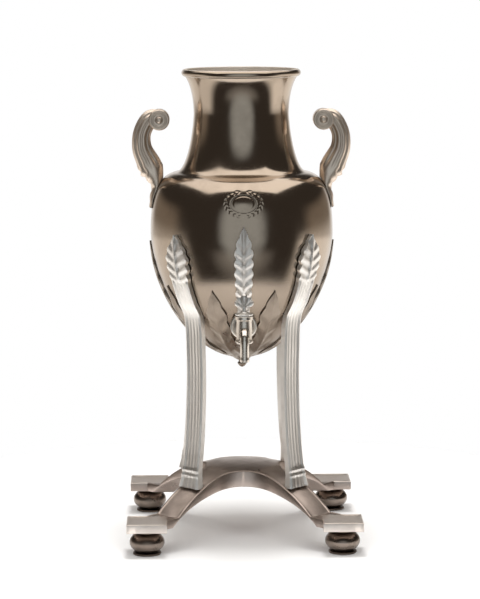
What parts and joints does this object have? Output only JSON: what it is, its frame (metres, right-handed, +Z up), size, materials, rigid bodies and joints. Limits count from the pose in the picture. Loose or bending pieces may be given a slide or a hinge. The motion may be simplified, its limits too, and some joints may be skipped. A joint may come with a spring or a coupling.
{
  "type": "hot water urn",
  "caption": "Silver vase-shaped hot water urn with a tap and scroll handles, held on leaf-headed legs over an arched base with bun feet.",
  "frame": {"origin": "on the ground, on the axis of the vase", "axes": "+Z up along the vase's axis, -Y towards the tap, +X towards the right handle"},
  "size_m": [0.222, 0.222, 0.45],
  "materials": {
    "polished_silver": "polished",
    "handle_silver": "polished, slightly tarnished",
    "chased_silver": "chased and lightly frosted",
    "base_silver": "polished, slightly tarnished"
  },
  "bodies": {
    "urn": {"vase": "polished_silver", "calyx": "chased_silver", "front_leaf": "chased_silver", "tap": "polished_silver", "base": "base_silver", "handle_right": "handle_silver", "handle_left": "handle_silver", "leg_back_right": "chased_silver", "leg_back_left": "chased_silver", "leg_front_left": "chased_silver", "leg_front_right": "chased_silver", "foot_back_right": "base_silver", "foot_back_left": "base_silver", "foot_front_left": "base_silver", "foot_front_right": "base_silver"},
    "key": {"tap_key": "chased_silver"}
  },
  "joints": [
    {"name": "tap_turn", "type": "hinge", "parent": "urn", "child": "key", "pos_m": [0, -0.09101, 0.212], "axis": [0, 0, 1], "range_deg": [0, 90]}
  ]
}
